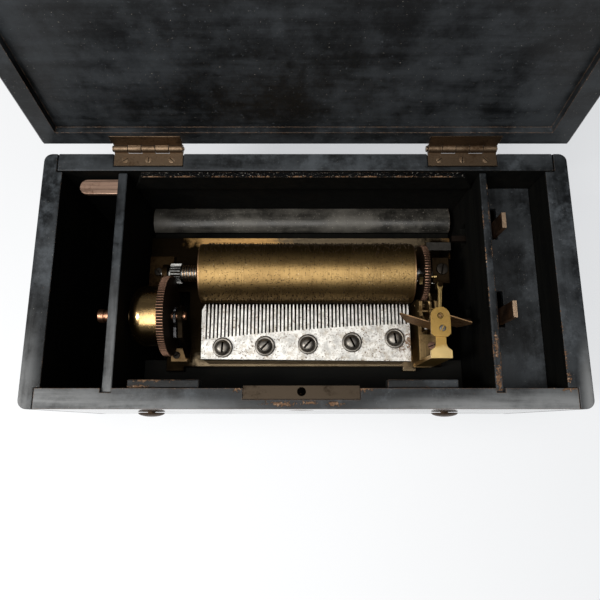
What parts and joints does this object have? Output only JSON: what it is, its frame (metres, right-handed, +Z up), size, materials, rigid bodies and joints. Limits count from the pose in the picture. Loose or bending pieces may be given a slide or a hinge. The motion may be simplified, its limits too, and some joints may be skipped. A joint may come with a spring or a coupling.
{
  "type": "wind up music box",
  "caption": "Key-wound cylinder music box: black wooden case with an open lid, pinned brass cylinder, steel comb, spring barrel and air-brake governor.",
  "frame": {"origin": "centre of the flat underside of the case", "axes": "+Z up, +X to the right seen from the front, -Y towards the front, where the lock is"},
  "size_m": [0.26, 0.1638, 0.2255],
  "materials": {
    "black_wood": "ebonised wood, shellac polish, worn edges",
    "inner_wood": "black stained softwood, matt",
    "brass": "old lacquered brass, brushed lengthwise",
    "aged_brass": "brown tarnished brass",
    "steel": "ground steel with light rust",
    "blued_steel": "hardened steel, dark"
  },
  "bodies": {
    "case": {"front_wall": "black_wood", "rear_wall": "black_wood", "left_wall": "black_wood", "right_wall": "black_wood", "bottom_board": "inner_wood", "left_partition": "black_wood", "right_partition": "black_wood", "control_shelf": "black_wood", "rear_rail": "black_wood", "front_batten": "inner_wood", "front_ledge_left": "black_wood", "front_ledge_right": "black_wood", "rear_ledge": "black_wood", "lock": "aged_brass", "keyhole_escutcheon": "aged_brass", "left_tab": "aged_brass", "case_screw_left": "aged_brass", "case_screw_right": "aged_brass", "left_hinge_case_leaf": "aged_brass", "right_hinge_case_leaf": "aged_brass", "left_hinge_pin": "aged_brass", "right_hinge_pin": "aged_brass", "bedplate": "brass", "comb": "steel", "comb_base": "brass", "comb_screw_1": "steel", "comb_screw_2": "steel", "comb_screw_3": "steel", "comb_screw_4": "steel", "comb_screw_5": "steel", "left_bearing_bracket": "brass", "right_bearing_bracket": "brass", "change_spring": "steel", "barrel_bridge": "brass", "arbor_bush": "aged_brass", "governor_frame": "brass", "governor_cock": "brass", "lever_bracket": "brass"},
    "lid": {"lid": "black_wood", "lid_hook_plate": "aged_brass", "left_hinge_lid_leaf": "aged_brass", "right_hinge_lid_leaf": "aged_brass"},
    "cylinder_arbor": {"cylinder_arbor": "steel", "cylinder_pinion": "steel", "cylinder_great_wheel": "aged_brass"},
    "cylinder": {"cylinder": "brass", "shift_spring": "aged_brass"},
    "change_star": {"change_star": "brass"},
    "spring_barrel": {"spring_barrel": "brass", "barrel_great_wheel": "aged_brass", "mainspring": "blued_steel"},
    "winding_arbor": {"winding_arbor": "aged_brass", "ratchet_wheel": "blued_steel"},
    "click": {"click": "blued_steel"},
    "first_governor_wheel": {"first_governor_wheel": "aged_brass"},
    "worm_wheel": {"worm_wheel": "aged_brass"},
    "fly": {"fly": "aged_brass"},
    "stop_lever": {"stop_lever": "aged_brass"},
    "stop_detent": {"stop_detent": "brass"},
    "change_lever": {"change_lever": "aged_brass"}
  },
  "joints": [
    {"name": "lid_hinge", "type": "hinge", "parent": "case", "child": "lid", "pos_m": [0, 0.0649, 0.1003], "axis": [-1, 0, 0], "range_deg": [-100, 0]},
    {"name": "cylinder_spin", "type": "hinge", "parent": "case", "child": "cylinder_arbor", "pos_m": [0, 0.00885, 0.07], "axis": [1, 0, 0], "continuous": true},
    {"name": "tune_shift", "type": "slide", "parent": "cylinder_arbor", "child": "cylinder", "axis": [-1, 0, 0], "range_m": [0, 0.0015], "stiffness_N_per_m": 400, "deforming": ["shift_spring"]},
    {"name": "star_turn", "type": "hinge", "parent": "cylinder_arbor", "child": "change_star", "pos_m": [0.0591, 0.0035, 0.079], "axis": [1, 0, 0], "continuous": true},
    {"name": "barrel_spin", "type": "hinge", "parent": "case", "child": "spring_barrel", "pos_m": [-0.079, -0.0153, 0.0766], "axis": [1, 0, 0], "continuous": true},
    {"name": "winding_spin", "type": "hinge", "parent": "case", "child": "winding_arbor", "pos_m": [-0.1, -0.0153, 0.0766], "axis": [1, 0, 0], "continuous": true},
    {"name": "click_swing", "type": "hinge", "parent": "case", "child": "click", "pos_m": [-0.0659, -0.0251, 0.0746], "axis": [1, 0, 0], "range_deg": [0, 12], "stiffness_Nm_per_rad": 0.0004, "springref_deg": -11.46},
    {"name": "first_governor_spin", "type": "hinge", "parent": "case", "child": "first_governor_wheel", "pos_m": [0.065, -0.0076, 0.0651], "axis": [1, 0, 0], "continuous": true},
    {"name": "worm_wheel_spin", "type": "hinge", "parent": "case", "child": "worm_wheel", "pos_m": [0.0635, -0.01216, 0.0731], "axis": [1, 0, 0], "continuous": true},
    {"name": "fly_spin", "type": "hinge", "parent": "case", "child": "fly", "pos_m": [0.0635, -0.019, 0.087], "axis": [0, 0, 1], "continuous": true},
    {"name": "stop_lever_swing", "type": "hinge", "parent": "case", "child": "stop_lever", "pos_m": [0.0985, -0.0161, 0.046], "axis": [-1, 0, 0], "range_deg": [0, 11]},
    {"name": "stop_detent_swing", "type": "hinge", "parent": "case", "child": "stop_detent", "pos_m": [0.0686, 0.0004, 0.0787], "axis": [0, 0, 1], "range_deg": [0, 5]},
    {"name": "change_lever_swing", "type": "hinge", "parent": "case", "child": "change_lever", "pos_m": [0.0985, 0.0297, 0.046], "axis": [-1, 0, 0], "range_deg": [0, 11]}
  ],
  "couplings": [
    {"joint": "barrel_spin", "follows": "cylinder_spin", "ratio": -0.24719},
    {"joint": "first_governor_spin", "follows": "cylinder_spin", "ratio": -5.3333},
    {"joint": "worm_wheel_spin", "follows": "cylinder_spin", "ratio": 27.2},
    {"joint": "fly_spin", "follows": "cylinder_spin", "ratio": 979.2},
    {"joint": "stop_detent_swing", "follows": "stop_lever_swing", "ratio": 0.3636}
  ]
}
